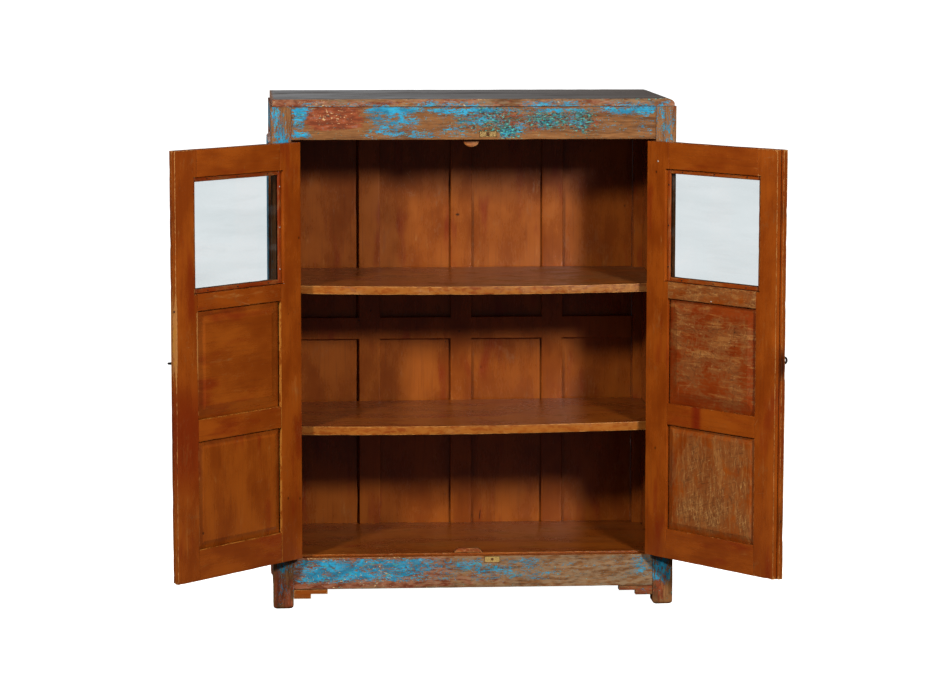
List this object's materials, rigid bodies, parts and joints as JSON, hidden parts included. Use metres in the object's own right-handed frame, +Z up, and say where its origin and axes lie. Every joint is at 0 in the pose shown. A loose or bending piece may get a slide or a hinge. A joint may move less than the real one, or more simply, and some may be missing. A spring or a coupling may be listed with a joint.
{
  "type": "china cabinet with glass doors",
  "caption": "Low painted wooden cabinet with two open frame-and-panel doors glazed at the top, two shelves inside, butt hinges and flush bolts.",
  "frame": {"origin": "on the floor, at the centre of the bounding box of the cabinet with both doors standing open", "axes": "+X along the front towards the cabinet's right-hand end as seen from the front, +Y from the doors towards the back, +Z up"},
  "size_m": [1.3322, 0.7826, 1.1413],
  "materials": {
    "case_wood": "chipped sky-blue paint over brick-red primer on planed wood, satin",
    "door_wood": "orange-brown paint inside, chipped blue paint outside, satin",
    "interior_wood": "orange-brown paint, satin, scuffed",
    "bare_wood": "worn bare wood with traces of paint",
    "weathered_top": "weathered grey-brown, dry and matt",
    "brass": "dull aged brass",
    "iron": "dark oxidised wrought iron",
    "glass": "old clear sheet glass"
  },
  "bodies": {
    "case": {"front_left_post": "case_wood", "rear_left_post": "case_wood", "front_right_post": "case_wood", "rear_right_post": "case_wood", "top_board": "weathered_top", "front_top_rail": "case_wood", "front_bottom_rail": "case_wood", "left_side_top_rail": "case_wood", "left_side_bottom_rail": "case_wood", "left_side_panel": "case_wood", "right_side_top_rail": "case_wood", "right_side_bottom_rail": "case_wood", "right_side_panel": "case_wood", "back_frame": "interior_wood", "back_board_1": "interior_wood", "back_board_2": "interior_wood", "back_board_3": "interior_wood", "back_board_4": "interior_wood", "upper_shelf": "interior_wood", "middle_shelf": "interior_wood", "bottom_board": "interior_wood", "left_foot_bracket": "bare_wood", "right_foot_bracket": "bare_wood", "top_door_stop": "bare_wood", "bottom_door_stop": "bare_wood", "top_keeper": "brass", "bottom_keeper": "brass", "left_lower_hinge_post_leaf": "iron", "left_upper_hinge_post_leaf": "iron", "right_lower_hinge_post_leaf": "iron", "right_upper_hinge_post_leaf": "iron"},
    "left_door": {"left_hinge_stile": "door_wood", "left_meeting_stile": "door_wood", "left_door_bottom_rail": "door_wood", "left_door_lock_rail": "door_wood", "left_door_glazing_rail": "door_wood", "left_door_top_rail": "door_wood", "left_door_lower_panel": "door_wood", "left_door_upper_panel": "door_wood", "left_door_glass": "glass", "left_lower_hinge_door_leaf": "iron", "left_upper_hinge_door_leaf": "iron", "left_padlock_eye": "iron"},
    "right_door": {"right_hinge_stile": "door_wood", "right_meeting_stile": "door_wood", "right_door_bottom_rail": "door_wood", "right_door_lock_rail": "door_wood", "right_door_glazing_rail": "door_wood", "right_door_top_rail": "door_wood", "right_door_lower_panel": "door_wood", "right_door_upper_panel": "door_wood", "right_door_glass": "glass", "right_lower_hinge_door_leaf": "iron", "right_upper_hinge_door_leaf": "iron", "right_padlock_eye": "iron", "top_bolt_plate": "brass", "bottom_bolt_plate": "brass"},
    "top_bolt": {"top_bolt": "brass"},
    "bottom_bolt": {"bottom_bolt": "brass"}
  },
  "joints": [
    {"name": "left_door_hinge", "type": "hinge", "parent": "case", "child": "left_door", "pos_m": [-0.39043, -0.05198, 0.58375], "axis": [0, 0, 1], "range_deg": [-42.6, 132.4]},
    {"name": "right_door_hinge", "type": "hinge", "parent": "case", "child": "right_door", "pos_m": [0.41697, -0.05198, 0.58375], "axis": [0, 0, 1], "range_deg": [-126.4, 48.6]},
    {"name": "top_bolt_slide", "type": "slide", "parent": "right_door", "child": "top_bolt", "axis": [0, 0, 1], "range_m": [0, 0.012]},
    {"name": "bottom_bolt_slide", "type": "slide", "parent": "right_door", "child": "bottom_bolt", "axis": [0, 0, -1], "range_m": [0, 0.012]}
  ]
}
